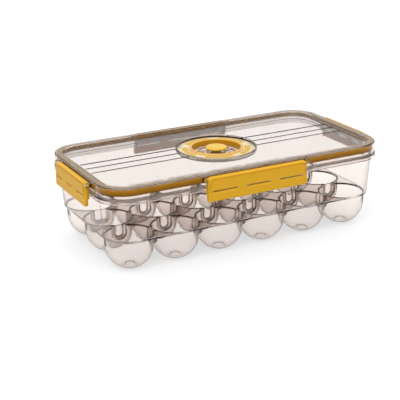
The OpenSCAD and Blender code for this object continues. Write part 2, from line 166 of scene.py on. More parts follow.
def clear_plastic(name, skin, tint, density, turned, line_width, gloss):
    """Clear plastic whose tint grows with depth. Its surface passes the skin's colour, which goes
    over to a painted dark edge shade between two values of turning away, and along sharp edges."""
    material = new_material(name, IOR=1.5, Transmission_Weight=1.0, Specular_Tint=FAINT_MIRROR)
    tree, surface = material.node_tree, principled(material)
    line, softened = edge_line(tree, line_width)
    # Painted shade: the surface colour goes dark along sharp edges and where the surface turns away.
    colour = add_node(tree, "ShaderNodeMix")
    colour.data_type = "RGBA"
    colour.inputs["B"].default_value = PAINTED_EDGE_SHADE
    tree.links.new(line, colour.inputs["Factor"])
    tree.links.new(turning_away(tree, [(turned[0], skin), (turned[1], PAINTED_EDGE_SHADE)]), colour.inputs["A"])
    tree.links.new(colour.outputs["Result"], surface.inputs["Base Color"])
    tree.links.new(softened, surface.inputs["Normal"])
    wear(material, CLEAR_WEAR, *gloss)
    absorb = add_node(tree, "ShaderNodeVolumeAbsorption", Color=tint, Density=density)
    tree.links.new(absorb.outputs["Volume"], tree.nodes["Material Output"].inputs["Volume"])
    return material


# %% Clear finishes
tray_plastic = clear_plastic(
    "smoky clear tray plastic", skin=rgb(252, 250, 249), tint=rgb(174, 141, 117), density=110.0,
    turned=(0.7, 0.9), line_width=0.0012, gloss=(0.01, 0.04))
lid_plastic = clear_plastic(
    "clear lid plastic", skin=rgb(240, 236, 233), tint=rgb(176, 152, 134), density=50.0,
    turned=(0.96, 1.0), line_width=0.0004, gloss=(0.01, 0.04))
vent_plastic = clear_plastic(
    "clear vent plastic", skin=rgb(252, 250, 248), tint=rgb(230, 220, 210), density=20.0,
    turned=(0.9, 1.0), line_width=0.0004, gloss=(0.02, 0.05))
print("clear finishes", tray_plastic.name, lid_plastic.name, vent_plastic.name)

# %% [markdown]
# ## Golden finishes
# The latches and the knob are glossy coloured plastic. A plain colour would look like paint, so
# light goes a few millimetres into the latches, which warms their edges. Handling leaves a faint
# change of gloss over each.

# %% Golden finishes
latch_plastic = new_material("golden latch plastic", Base_Color=rgb(232, 176, 10), IOR=1.5,
                             Specular_IOR_Level=0.42, Subsurface_Weight=0.5,
                             Subsurface_Scale=0.004, Subsurface_Radius=(1.0, 0.6, 0.1))
wear(latch_plastic, scale=60.0, low=0.28, high=0.4)
knob_plastic = new_material("golden knob plastic", Base_Color=rgb(238, 192, 50), IOR=1.5,
                            Specular_IOR_Level=0.42)
wear(knob_plastic, scale=60.0, low=0.2, high=0.32)
print("golden finishes", latch_plastic.name, knob_plastic.name)

# %% [markdown]
# ## Dial finish
# The dial is one moulding that shows four tones: a pale plate, golden pads, a peach lip and a deep
# amber wall round the opening. It could be cut into four pieces, one for each, but then seams would
# show. Its mesh carries a number at each point instead, and a ramp turns that into a colour.

# %% Dial finish
PLATE_TONE, PAD_TONE, LIP_TONE, WALL_TONE = 0.0, 0.34, 0.67, 1.0
dial_plastic = new_material("golden dial plastic", IOR=1.5, Specular_IOR_Level=0.25)
wear(dial_plastic, scale=60.0, low=0.12, high=0.25)
dial_tree = dial_plastic.node_tree
tone = add_node(dial_tree, "ShaderNodeAttribute")
tone.attribute_name = "tone"
tone_ramp = add_node(dial_tree, "ShaderNodeValToRGB")
set_ramp(tone_ramp, [(PLATE_TONE, rgb(238, 220, 184)), (PAD_TONE, rgb(220, 174, 20)),
                     (LIP_TONE, rgb(238, 188, 98)), (WALL_TONE, rgb(212, 148, 28))])
dial_tree.links.new(tone.outputs["Fac"], tone_ramp.inputs["Fac"])
dial_tree.links.new(tone_ramp.outputs["Color"], principled(dial_plastic).inputs["Base Color"])
print("dial finish", dial_plastic.name, "with", len(tone_ramp.color_ramp.elements), "tones")

# %% [markdown]
# ## Silicone finishes
# The gasket is amber silicone, with painted shade and light in its colour: deep in its legs, which
# sit in the shade of the channel, and pale on its lit crown. Thin silicone could be made
# translucent, but it lies behind clear plastic, where that only adds noise. So its colour follows
# the height, as painted shade. The hidden washer and clip are plain.

# %% Silicone finishes
# Heights between which the gasket's painted shade in the legs turns into painted light on the crown.
PAINTED_SHADE_LOW, PAINTED_LIGHT_HIGH = 0.0815, 0.0882
gasket_silicone = new_material("amber silicone", IOR=1.43, Specular_IOR_Level=0.2)
wear(gasket_silicone, scale=80.0, low=0.3, high=0.5)
gasket_tree = gasket_silicone.node_tree
place = add_node(gasket_tree, "ShaderNodeTexCoord")
place_parts = add_node(gasket_tree, "ShaderNodeSeparateXYZ")
height = add_node(gasket_tree, "ShaderNodeMapRange", From_Min=PAINTED_SHADE_LOW, From_Max=PAINTED_LIGHT_HIGH)
# Painted shade and light: deep amber in the shaded legs, pale on the lit crown.
amber = add_node(gasket_tree, "ShaderNodeValToRGB")
set_ramp(amber, [(0.0, rgb(150, 94, 4)), (0.45, rgb(204, 146, 14)), (0.9, rgb(240, 176, 48)),
                 (1.0, rgb(246, 200, 96))])
gasket_tree.links.new(place.outputs["Object"], place_parts.inputs["Vector"])
gasket_tree.links.new(place_parts.outputs["Z"], height.inputs["Value"])
gasket_tree.links.new(height.outputs["Result"], amber.inputs["Fac"])
gasket_tree.links.new(amber.outputs["Color"], principled(gasket_silicone).inputs["Base Color"])
washer_silicone = new_material("pale silicone", Base_Color=rgb(235, 232, 225), IOR=1.43)
wear(washer_silicone, scale=80.0, low=0.35, high=0.5)
print("silicone finishes", gasket_silicone.name, washer_silicone.name)

# %% [markdown]
# ## Finishes on the solids
# Each solid is one moulded piece, so it takes one finish. It could be chosen by clicking, but a
# list from piece to finish shows at a glance what the box is made of.

# %% Finishes on the solids
finishes = {
    "tray": tray_plastic, "lid": lid_plastic, "lid_gasket": gasket_silicone,
    "front_latch": latch_plastic, "rear_latch": latch_plastic,
    "left_latch": latch_plastic, "right_latch": latch_plastic,
    "dial_ring": dial_plastic, "vent_shutter": vent_plastic, "vent_knob": knob_plastic,
    "vent_washer": washer_silicone, "knob_clip": washer_silicone,
}
for node, material in finishes.items():
    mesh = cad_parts[node].data
    mesh.materials.clear()
    mesh.materials.append(material)
    print(node, len(mesh.polygons), "faces", material.name)

# %% [markdown]
# ## Tools for new pieces
# Each new piece is a grid of points: a section carried along a path, or a sheet over two
# directions. It could be modelled by hand, but a grid turns into faces in one way only, so a few
# helpers make the mesh of every piece and its shape stays one formula.

# %% From grid to faces
def grid_faces(rows, columns, round_rows=False, round_columns=False):
    """Quads between neighbours of a grid numbered row by row. A round direction joins its last
    line to its first."""
    index = np.arange(rows * columns).reshape(rows, columns)
    if round_rows:
        index = np.vstack([index, index[:1]])
    if round_columns:
        index = np.hstack([index, index[:, :1]])
    corners = [index[:-1, :-1], index[1:, :-1], index[1:, 1:], index[:-1, 1:]]
    return np.stack(corners, axis=-1).reshape(-1, 4)


def sewn_sheets(quads, rows, columns):
    """Two sheets over one grid, the second numbered after the first: the first one's faces, the
    same turned round for the second, and a ring of faces that sews their rims."""
    index = np.arange(rows * columns).reshape(rows, columns)
    rim = np.concatenate([index[:-1, 0], index[-1, :-1], index[:0:-1, -1], index[0, :0:-1]])
    on, count = np.roll(rim, -1), rows * columns
    ring = np.stack([rim + count, on + count, on, rim], axis=1)
    return np.concatenate([quads, quads[:, ::-1] + count, ring])


# %% From faces to piece
MM = 0.001


def new_piece(node, points, faces, material, body, slot, sharp=35.0):
    """A piece in millimetre points that rides on a body and stands for the CAD node of its name,
    if there is one. Faces are an array, or a list where some have another count of corners."""
    mesh = bpy.data.meshes.new(node + "_formed")
    corners = faces if isinstance(faces, list) else faces.tolist()
    mesh.from_pydata((points * MM).tolist(), [], corners)
    mesh.validate()
    mesh.polygons.foreach_set("use_smooth", np.ones(len(mesh.polygons), bool))
    mesh.set_sharp_from_angle(angle=math.radians(sharp))
    mesh.materials.append(material)
    piece = bpy.data.objects.new(node + "_formed", mesh)
    bpy.context.collection.objects.link(piece)
    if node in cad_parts:
        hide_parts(node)
    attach(piece, body)
    print(piece.name, len(mesh.vertices), "points", len(mesh.polygons), "faces")
    return piece


# %% Soft steps and rounded sections
def smooth(value, low, high):
    """Rises from nothing to one between two values, level at both ends."""
    x = np.clip((value - low) / (high - low), 0, 1)
    return x * x * (3 - 2 * x)


def rounded(corners, radii, steps=4):
    """A closed section whose corners are arcs. At each corner the arc's centre lies on the line
    that halves the angle, and its ends are where it meets the two sides."""
    corners = np.asarray(corners, float)
    radii = np.broadcast_to(np.asarray(radii, float), len(corners))[:, None]
    back = np.roll(corners, 1, axis=0) - corners
    on = np.roll(corners, -1, axis=0) - corners
    back /= np.linalg.norm(back, axis=1, keepdims=True)
    on /= np.linalg.norm(on, axis=1, keepdims=True)
    half = np.arccos(np.clip((back * on).sum(1, keepdims=True), -1, 1)) / 2
    middle = (back + on) / np.linalg.norm(back + on, axis=1, keepdims=True)
    centre = corners + middle * radii / np.sin(half)
    start = corners + back * radii / np.tan(half) - centre
    end = corners + on * radii / np.tan(half) - centre
    turn = np.pi - 2 * half
    share = np.linspace(0, 1, steps + 1)[None, :, None]
    arc = (np.sin((1 - share) * turn[:, None]) * start[:, None]
           + np.sin(share * turn[:, None]) * end[:, None]) / np.sin(turn[:, None])
    return (centre[:, None] + arc).reshape(-1, 2)


# %% [markdown]
# ## Thin walls in the saddles
# Between neighbouring cups the tray dips in a U. A thin wall still closes each dip up to the deck,
# and swells in a smooth slope towards the U's edge, as moulded plastic does where it joins
# thicker walls. It could be a flat sheet, but light needs the slope to draw the second, inner U.
# One such wall is a pair of sheets over a grid of across by down, set into each saddle.

# %% Saddle sizes
CUP_COLUMNS, CUP_ROWS, CUP_PITCH, CUP_INNER, CUP_MIDDLE = 6, 3, 49.2, 22.4, 23.0
U_RADIUS, U_LOW, DECK = 6.2, 20.0, 34.0
THIN_WALL, SWELL, HAIR, INSIDE = 0.8, 2.6, 0.05, 0.15
print("each U is", 2 * U_RADIUS, "mm wide and", DECK - U_LOW, "mm deep")


# %% Wall in one saddle
def saddle_wall(columns=17, straight=5, bend=9, last_turn=84):
    """Across = half width of the U at that height x sine of an even angle, so lines crowd at the
    edges. Depth = from half the thin wall, inside, to the cup's inner face, at the U's edge."""
    radius, centre = U_RADIUS - HAIR, U_LOW + U_RADIUS
    turn = np.radians(np.linspace(0, last_turn, bend + 1))
    sides = np.linspace(DECK - HAIR, centre, straight + 1)[:-1]
    level = np.concatenate([sides, centre - radius * np.sin(turn)])
    half = np.concatenate([np.full(straight, radius), radius * np.cos(turn)])
    across = half[:, None] * np.sin(np.radians(np.linspace(-90, 90, columns)))
    z = np.broadcast_to(level[:, None], across.shape)
    from_edge = radius - np.hypot(across, np.clip(centre - z, 0, None))
    bowl = np.sqrt(CUP_INNER ** 2 - np.clip(CUP_MIDDLE - z, 0, None) ** 2 - across ** 2)
    thickest = CUP_PITCH / 2 - bowl - INSIDE
    depth = THIN_WALL / 2 + (thickest - THIN_WALL / 2) * (1 - smooth(from_edge, 0, SWELL))
    sheets = [np.stack([across, sign * depth, z], axis=-1).reshape(-1, 3) for sign in (-1, 1)]
    return np.concatenate(sheets), across.shape


# %% Walls in all saddles
along_x, grid = saddle_wall()
along_y = np.stack([along_x[:, 1], -along_x[:, 0], along_x[:, 2]], axis=1)
cup_x = (np.arange(CUP_COLUMNS) - (CUP_COLUMNS - 1) / 2) * CUP_PITCH
cup_y = (np.arange(CUP_ROWS) - (CUP_ROWS - 1) / 2) * CUP_PITCH
behind = np.stack(np.meshgrid(cup_x, cup_y[:-1] + CUP_PITCH / 2, 0), axis=-1).reshape(-1, 1, 3)
beside = np.stack(np.meshgrid(cup_x[:-1] + CUP_PITCH / 2, cup_y, 0), axis=-1).reshape(-1, 1, 3)
walls = len(behind) + len(beside)
points = np.concatenate([along_x + behind, along_y + beside]).reshape(-1, 3)
faces = sewn_sheets(grid_faces(*grid), *grid) + (np.arange(walls) * len(along_x))[:, None, None]
print("walls in saddles", walls)
new_piece("tray_saddles", points, faces.reshape(-1, 4), tray_plastic, "tray", "tray")

# %% [markdown]
# ## Gasket
# The silicone gasket fills the channel under the lid's rim: a crown that the tray's rim presses
# into, and a soft leg on each side. It could be a curve with a bevel shape, which bends the
# section a little at each corner, so it is one section carried round the box by a formula. The
# path is a rectangle whose sides only move the section and whose corners only turn it. A hair of
# air is left round it, because clear plastic and silicone that share a face would look like glue.

# %% Path round the box
CORE_X, CORE_Y = 126.2, 51.2


def carried_round(section, corner_steps=24):
    """Point = corner of the core rectangle + offset x direction, height = section height, where
    the direction turns a quarter circle at each of the four corners."""
    quarter = np.linspace(0, np.pi / 2, corner_steps + 1)
    angle = (np.arange(4)[:, None] * np.pi / 2 + quarter).ravel()
    core = np.repeat([[CORE_X, CORE_Y], [-CORE_X, CORE_Y], [-CORE_X, -CORE_Y], [CORE_X, -CORE_Y]],
                     corner_steps + 1, axis=0)
    way = np.stack([np.cos(angle), np.sin(angle)], axis=1)
    flat = core[:, None, :] + section[None, :, :1] * way[:, None, :]
    level = np.broadcast_to(section[None, :, 1:], (len(angle), len(section), 1))
    points = np.concatenate([flat, level], axis=2).reshape(-1, 3)
    return points, grid_faces(len(angle), len(section), round_rows=True, round_columns=True)


# %% Gasket
GAP, LEG, LEG_LOW_IN, LEG_LOW_OUT = 0.06, 1.4, 82.5, 81.6
LEG_IN, LEG_OUT = 22.9 + GAP, 28.0 - GAP
CROWN_TOP, CROWN_LOW = 88.2 - GAP, 86.4 + GAP
CROWN_ROUND, LEG_ROUND, CHANNEL_ROUND = 0.5, 0.65, 0.3
gasket_section = rounded(
    [[LEG_IN, CROWN_TOP], [LEG_IN, LEG_LOW_IN], [LEG_IN + LEG, LEG_LOW_IN],
     [LEG_IN + LEG, CROWN_LOW], [LEG_OUT - LEG, CROWN_LOW], [LEG_OUT - LEG, LEG_LOW_OUT],
     [LEG_OUT, LEG_LOW_OUT], [LEG_OUT, CROWN_TOP]],
    [CROWN_ROUND, LEG_ROUND, LEG_ROUND, CHANNEL_ROUND, CHANNEL_ROUND, LEG_ROUND, LEG_ROUND, CROWN_ROUND])
new_piece("lid_gasket", *carried_round(gasket_section[::-1]), gasket_silicone, "lid", "gasket")

# %% [markdown]
# ## Latches
# A latch is one moulded plate: a softly rounded face with three slots, cheeks at its ends, a
# thick rolled top round the hinge, and three catches behind the slots. It could be a block that
# other blocks are cut from, but then each soft edge would need a bevel of its own. Here both sides
# of the plate are sheets over the same lines, across and up, so that the slots can be cut from
# both at once and the edges sewn. Near its rim the lines bend into the latch's round corners.

# %% Latch sizes
HINGE_LINE, HINGE_HEIGHT, BARREL = 33.15, 85.6, 2.9
LATCH_LOW, LATCH_TOP, LATCH_OUT, LATCH_FACE = 64.0, 88.5, 36.3, 1.8
CHEEK, CHEEK_LINE, CATCH_IN, TAB_IN = 1.8, 1.95, 30.9, 32.5
CATCH_LOW, CATCH_TOP, SLOT_LOW, SLOT_TOP, SLOPE_LOW = 71.0, 73.2, 73.5, 74.9, 71.7
SLOT_MARGIN, SLOT_BRIDGE, GROOVE, ROLL_OVER, RIM_STEP = 4.5, 10.4, 0.9, 0.25, 0.25
LOW_CORNER, MIDDLE_CORNER, TOP_CORNER, LOW_ROUND, TOP_ROUND = 2.0, 3.7, 5.0, 0.9, 2.8
# Each CHANGE is the pair of heights between which a corner or a rounding goes from size to size.
LOW_CHANGE, TOP_CHANGE, ROUND_CHANGE, SQUEEZED = (66, 71), (76, 83), (66, 80), 8
print("latch plate", LATCH_TOP - LATCH_LOW, "mm high and", LATCH_FACE, "mm thick")

# %% Latch lines
INNER_SHARES = np.array([0, 0.35, 0.7, 1.0])
QUARTER = np.array([0, 30, 60, 90])
OUTER_LINES, CLOSE, HAIRLINE = 7, 0.15, 0.01
REACH = OUTER_LINES + len(INNER_SHARES)


def edge_lines(corner, roundness, behind):
    """Distances of the rim lines from the edge. In front the first lines follow a quarter circle
    of the given roundness. The last line lies where the round corner starts. The top's quarter
    circle is wider than the cheek, so there the flat face doubles back on itself for 1 mm."""
    if behind:
        outer = [0.25, 0.5, 0.8, 1.1, 1.4, 1.6, CHEEK]
    else:
        outer = [0, *(roundness * (1 - np.cos(np.radians(QUARTER)))), CHEEK - 0.05, CHEEK]
    return np.concatenate([outer, CHEEK_LINE + (corner - CHEEK_LINE) * INNER_SHARES])


def slot_places(width):
    """Starts of the three slots, and their length: what bridges and margins leave, in three."""
    slot = (width - 2 * SLOT_MARGIN - 2 * SLOT_BRIDGE) / 3
    return -slot / 2 + np.array([-1, 0, 1]) * (slot + SLOT_BRIDGE), slot


def free_lines(width):
    """Lines across and up a latch between its rims, with a close pair at each edge of a slot."""
    starts, slot = slot_places(width)
    across = [np.concatenate([[start - CLOSE], np.linspace(start, start + slot, 7),
                              [start + slot + CLOSE]]) for start in starts]
    up = [68, 70.2, CATCH_LOW - 0.1, CATCH_LOW, 71.5, SLOPE_LOW, 72.7, CATCH_TOP, CATCH_TOP + 0.1,
          SLOT_LOW, SLOT_TOP, SLOT_TOP + ROLL_OVER, 77, 79.5, 82.6, 82.75]
    return np.concatenate(across), np.array(up)


# %% Latch corners
def corner_places(end_line, rim_line, upper, low, top):
    """Crossings inside a round corner, measured from its centre. Lines of equal number from both
    edges share a circle, and crossings divide its quarter evenly."""
    near, far = np.minimum(end_line, rim_line), np.maximum(end_line, rim_line)
    part = np.pi / 4 * (far - near) / np.maximum(REACH - 1 - near, 1)
    angle = np.where(end_line < rim_line, np.pi / 4 - part, np.pi / 4 + part)
    corner = np.where(upper, TOP_CORNER, LOW_CORNER)
    radius = corner - np.where(upper, top[near], low[near])
    return corner, radius * np.cos(angle), radius * np.sin(angle)


def corner_size(level):
    """Radius that the rim lines leave room for: it grows from the low corner's to the top's."""
    size = LOW_CORNER + (MIDDLE_CORNER - LOW_CORNER) * smooth(level, *LOW_CHANGE)
    return size + (TOP_CORNER - MIDDLE_CORNER) * smooth(level, *TOP_CHANGE)


# %% Latch sheet
def latch_sheet(width, behind):
    """Places of the lines' crossings on one face of the latch, and how many lines each is from
    the nearest end and from the nearest edge. Away from the corners a crossing is at its two
    lines' distances."""
    across, up = free_lines(width)
    half, columns, rows = width / 2, len(across) + 2 * REACH, len(up) + 2 * REACH
    column, row = np.meshgrid(np.arange(columns), np.arange(rows), indexing="ij")
    from_end, from_rim = np.minimum(column, columns - 1 - column), np.minimum(row, rows - 1 - row)
    end_line, rim_line = np.minimum(from_end, REACH - 1), np.minimum(from_rim, REACH - 1)
    upper, side = row >= rows / 2, np.where(column < columns / 2, -1.0, 1.0)
    low, top = edge_lines(LOW_CORNER, LOW_ROUND, behind), edge_lines(TOP_CORNER, TOP_ROUND, behind)
    level = np.concatenate([np.full(REACH, LATCH_LOW), up, np.full(REACH, LATCH_TOP)])[row]
    free = np.concatenate([np.zeros(REACH), across, np.zeros(REACH)])[column]
    corner, share = corner_size(level), smooth(level, *ROUND_CHANGE)
    inset = low[end_line] * (1 - share) + top[end_line] * share
    inner = INNER_SHARES[np.maximum(end_line - OUTER_LINES, 0)]
    inset = np.where(end_line >= OUTER_LINES, CHEEK_LINE + (corner - CHEEK_LINE) * inner, inset)
    squeeze = np.clip((SQUEEZED - half + np.abs(free)) / (SQUEEZED - MIDDLE_CORNER), 0, 1)
    y = np.where(from_end < REACH, side * (half - inset), free - side * squeeze * (corner - MIDDLE_CORNER))
    rim = np.where(upper, LATCH_TOP - top[rim_line], LATCH_LOW + low[rim_line])
    z = np.where(from_rim < REACH, rim, level)
    size, out, rise = corner_places(end_line, rim_line, upper, low, top)
    in_corner = np.maximum(from_end, from_rim) < REACH - 1
    y = np.where(in_corner, side * (half - size + out), y)
    z = np.where(in_corner, np.where(upper, LATCH_TOP - size + rise, LATCH_LOW + size - rise), z)
    return y, z, from_end, np.minimum(from_end, from_rim)


# %% Latch depth
def in_slots(y, width):
    """True at the crossings that lie within the length of a slot."""
    starts, slot = slot_places(width)
    return np.any([(y >= start - HAIRLINE) & (y <= start + slot + HAIRLINE) for start in starts], axis=0)


def behind_depth(y, z, from_end, width):
    """How far out the back of the plate lies: the face's back, the rolled top as a half circle
    round the hinge, the cheeks near both ends, and round-nosed catches behind the slots."""
    roll = HINGE_LINE - np.sqrt(np.clip(BARREL ** 2 - (z - HINGE_HEIGHT) ** 2, 0, None))
    nose = (CATCH_TOP - CATCH_LOW) / 2
    catch = CATCH_IN + nose - np.sqrt(np.clip(nose ** 2 - (z - CATCH_LOW - nose) ** 2, 0, None))
    on_catch = in_slots(y, width) & (z >= CATCH_LOW - HAIRLINE) & (z <= CATCH_TOP + HAIRLINE)
    x = np.where(on_catch, catch, LATCH_OUT - LATCH_FACE)
    cheek = np.where((z >= CATCH_LOW) & (z < HINGE_HEIGHT - 0.75 * BARREL), CATCH_IN, TAB_IN)
    x = np.where((from_end < OUTER_LINES) & (z < HINGE_HEIGHT), cheek, x)
    return np.where(z > HINGE_HEIGHT - BARREL, np.where(z < HINGE_HEIGHT, np.minimum(roll, x), roll), x)


def front_depth(y, z, ring, width, back):
    """How far out the front lies: a quarter circle at the rim, then the flat face, which slopes
    inwards to each slot from below and rolls over above it."""
    roundness = LOW_ROUND + (TOP_ROUND - LOW_ROUND) * smooth(z, *ROUND_CHANGE)
    turn = np.radians([0, *QUARTER])[np.minimum(ring, len(QUARTER))]
    x = LATCH_OUT - roundness * (1 - np.sin(turn))
    on_slot = in_slots(y, width)
    slope = GROOVE * np.clip((z - SLOPE_LOW) / (SLOT_LOW - SLOPE_LOW), 0, 1)
    x = np.where(on_slot & (z > SLOPE_LOW) & (z <= SLOT_LOW + HAIRLINE), x - slope, x)
    x = np.where(on_slot & (np.abs(z - SLOT_TOP) < HAIRLINE), x - ROLL_OVER, x)
    return np.where(ring == 0, back + RIM_STEP, x)


# %% Latch shape
def latch_shape(width):
    """Two sheets over the same lines, sewn round the rim and round each slot."""
    y, z, from_end, ring = latch_sheet(width, behind=False)
    front = np.stack([front_depth(y, z, ring, width, behind_depth(y, z, from_end, width)), y, z], axis=-1)
    y_back, z_back, from_end, ring = latch_sheet(width, behind=True)
    back = np.stack([behind_depth(y_back, z_back, from_end, width), y_back, z_back], axis=-1)
    columns, rows = y.shape
    index = np.arange(y.size).reshape(columns, rows)
    keep = np.ones((columns - 1, rows - 1), bool)
    low, high = (int(np.argmin(np.abs(z[columns // 2] - level))) for level in (SLOT_LOW, SLOT_TOP))
    starts, slot = slot_places(width)
    slot_walls = []
    for start in starts:
        first, last = (int(np.argmin(np.abs(y[:, low] - end))) for end in (start, start + slot))
        keep[first:last, low:high] = False
        loop = np.concatenate([index[first:last, low], index[last, low:high],
                               index[last:first:-1, high], index[first, high:low:-1]])
        on = np.roll(loop, -1)
        slot_walls.append(np.stack([loop, on, on + y.size, loop + y.size], axis=1))
    sheets = sewn_sheets(grid_faces(columns, rows)[keep.ravel()], columns, rows)
    return np.concatenate([front.reshape(-1, 3), back.reshape(-1, 3)]), np.concatenate([sheets] + slot_walls)


# %% Hinge stubs
STUB_RADIUS, STUB_IN, STUB_OUT = 1.3, 0.3, 2.8


def spun_rod(radius, low, high, steps=28, edge=0.25):
    """A rod along y with rounded ends: a profile of radius against length, spun round its axis.
    Each end runs in to a ring of a thousandth of a millimetre."""
    bend = edge * 0.3
    profile = np.array([[0.001, low], [radius - edge, low], [radius - bend, low + bend],
                        [radius, low + edge], [radius, high - edge], [radius - bend, high - bend],
                        [radius - edge, high], [0.001, high]])
    angle = np.arange(steps) * 2 * np.pi / steps
    x = HINGE_LINE + profile[:, None, 0] * np.cos(angle)
    z = HINGE_HEIGHT + profile[:, None, 0] * np.sin(angle)
    y = np.broadcast_to(profile[:, None, 1], x.shape)
    points = np.stack([x, y, z], axis=-1).reshape(-1, 3)
    return points, grid_faces(len(profile), steps, round_columns=True)


# %% Latches
SIDES = {"front": (-90, CORE_Y, 111), "rear": (90, CORE_Y, 111),
         "left": (180, CORE_X, 78), "right": (0, CORE_X, 78)}


def to_side(points, degrees, depth):
    """Moves the piece out by the core's depth and turns it to its side of the box."""
    turn = math.radians(degrees)
    x, y, z = (points + [depth, 0, 0]).T
    return np.stack([x * math.cos(turn) - y * math.sin(turn),
                     x * math.sin(turn) + y * math.cos(turn), z], axis=1)


for side_name, (degrees, depth, width) in SIDES.items():
    points, faces = latch_shape(width)
    for end in (-1, 1):
        low, high = sorted([end * (width / 2 - CHEEK + STUB_IN), end * (width / 2 + STUB_OUT)])
        rod, rod_faces = spun_rod(STUB_RADIUS, low, high)
        faces = np.concatenate([faces, rod_faces + len(points)])
        points = np.concatenate([points, rod])
    new_piece(side_name + "_latch", to_side(points, degrees, depth), faces, latch_plastic,
              side_name + "_latch", "latch")

# %% [markdown]
# ## Dial
# The turning ring is one section spun round the vent: a rounded lip at the opening, a skirt that
# guides it, and a flat plate that carries five raised pads. The pads could be pieces set on a
# ring, but on the real dial they grow out of it with a soft foot. Only the plate's height depends
# on the angle, so the ring is still a grid of angle by section.

# %% Dial sizes
OPENING, RING_OUT, RING_TOP, RING_LOW = 25.2, 40.3, 86.4, 80.4
LIP_WIDTH, LIP_HEIGHT, LIP_ROUND, RING_WALL = 3.0, 2.3, 1.49, 1.6
PAD_IN, PAD_OUT, PAD_HEIGHT, PAD_ANGLE, PAD_COUNT, PAD_TURN = 30.0, 37.9, 0.5, 52.0, 5, -139.0
PAD_SLOPE, PAD_END, PAD_BORDER, ARC_STEPS = 0.6, 1.0, 1.4, 6
print("dial", 2 * RING_OUT, "mm across, with", PAD_COUNT, "pads of", PAD_ANGLE, "degrees")


def spun(radius, level, angle):
    """Point = radius x (cosine, sine) of the angle, at its height, for arrays of one shape."""
    return np.stack([radius * np.cos(angle), radius * np.sin(angle), level], axis=-1)


# %% Dial section
def dial_section():
    """The rounded outline of the ring with the plate's points put in, and which ones those are."""
    outline = rounded(
        [[OPENING, RING_TOP + LIP_HEIGHT], [OPENING, RING_LOW], [OPENING + RING_WALL, RING_LOW],
         [OPENING + RING_WALL, RING_TOP - RING_WALL], [RING_OUT, RING_TOP - RING_WALL],
         [RING_OUT, RING_TOP], [OPENING + LIP_WIDTH, RING_TOP],
         [OPENING + LIP_WIDTH, RING_TOP + LIP_HEIGHT]],
        [LIP_ROUND, 0.4, 0.4, 0.3, 0.4, 0.4, 0.6, LIP_ROUND], ARC_STEPS)
    slope = np.array([PAD_SLOPE, 0.45, 0.25, 0.1, 0])
    plate = np.concatenate([PAD_OUT - slope + PAD_SLOPE, np.linspace(PAD_OUT - 1, PAD_IN + 1, 4),
                            PAD_IN - PAD_SLOPE + slope])
    corners_before = 6
    before = corners_before * (ARC_STEPS + 1)
    flat = np.stack([plate, np.full(len(plate), RING_TOP)], axis=1)
    on_plate = np.zeros(len(outline) + len(plate), bool)
    on_plate[before:before + len(plate)] = True
    return np.concatenate([outline[:before], flat, outline[before:]]), on_plate


# %% Dial ring
def dial_shape():
    """Angle by section. Lines crowd together at the ends of each pad, where the height rises."""
    section, on_plate = dial_section()
    step = 360 / PAD_COUNT
    fine = np.array([0, 0.15, 0.4, 0.7, PAD_END])
    one_pad = np.concatenate([fine, np.linspace(4, PAD_ANGLE - 4, 12), PAD_ANGLE - fine[::-1],
                              np.linspace(PAD_ANGLE + 4, step - 4, 4)])
    degrees = (np.arange(PAD_COUNT)[:, None] * step + one_pad).ravel()
    radius, angle = np.broadcast_arrays(section[None, :, 0], degrees[:, None])
    level = section[None, :, 1]
    in_step = np.mod(angle, step)
    along = smooth(in_step, 0, PAD_END) * (1 - smooth(in_step, PAD_ANGLE - PAD_END, PAD_ANGLE))
    across = smooth(radius, PAD_IN - PAD_SLOPE, PAD_IN) * (1 - smooth(radius, PAD_OUT, PAD_OUT + PAD_SLOPE))
    rise = along * across * on_plate
    on_pad = (rise > 0.3) & (radius < PAD_OUT - PAD_BORDER)
    tones = np.where(level > RING_TOP + 0.3, LIP_TONE, PLATE_TONE) + PAD_TONE * on_pad
    on_wall = (radius < OPENING + 0.5) & (level < RING_TOP + 1.6)
    tones = np.where(on_wall, WALL_TONE, tones)
    points = spun(radius, level + PAD_HEIGHT * rise, np.radians(angle + PAD_TURN)).reshape(-1, 3)
    return points, grid_faces(len(degrees), len(section), True, True), tones.ravel()


points, faces, tone_values = dial_shape()
ring_piece = new_piece("dial_ring", points, faces, dial_plastic, "dial", "dial")
tone_layer = ring_piece.data.attributes.new("tone", "FLOAT", "POINT")
tone_layer.data.foreach_set("value", tone_values.astype(np.float32))

# %% [markdown]
# ## Vent knob
# The knob is a turned shape: a slightly domed cap with a soft edge, a cone under it and a stem.
# It could be a few cylinders with bevels, but one section gives the cone and the dome as well. It
# runs from the axis at the top to the axis below, and closes there in two poles.

# %% Knob sizes
KNOB_TOP, KNOB_RADIUS, KNOB_HEAD, KNOB_DOME, KNOB_ROUND = 88.8, 11.2, 2.8, 0.35, 1.2
STEM, STEM_LOW, STEM_ROUND, BOSS_TOP = 3.98, 76.3, 0.3, 83.5
print("knob", 2 * KNOB_RADIUS, "mm across, stem", STEM, "mm in radius")


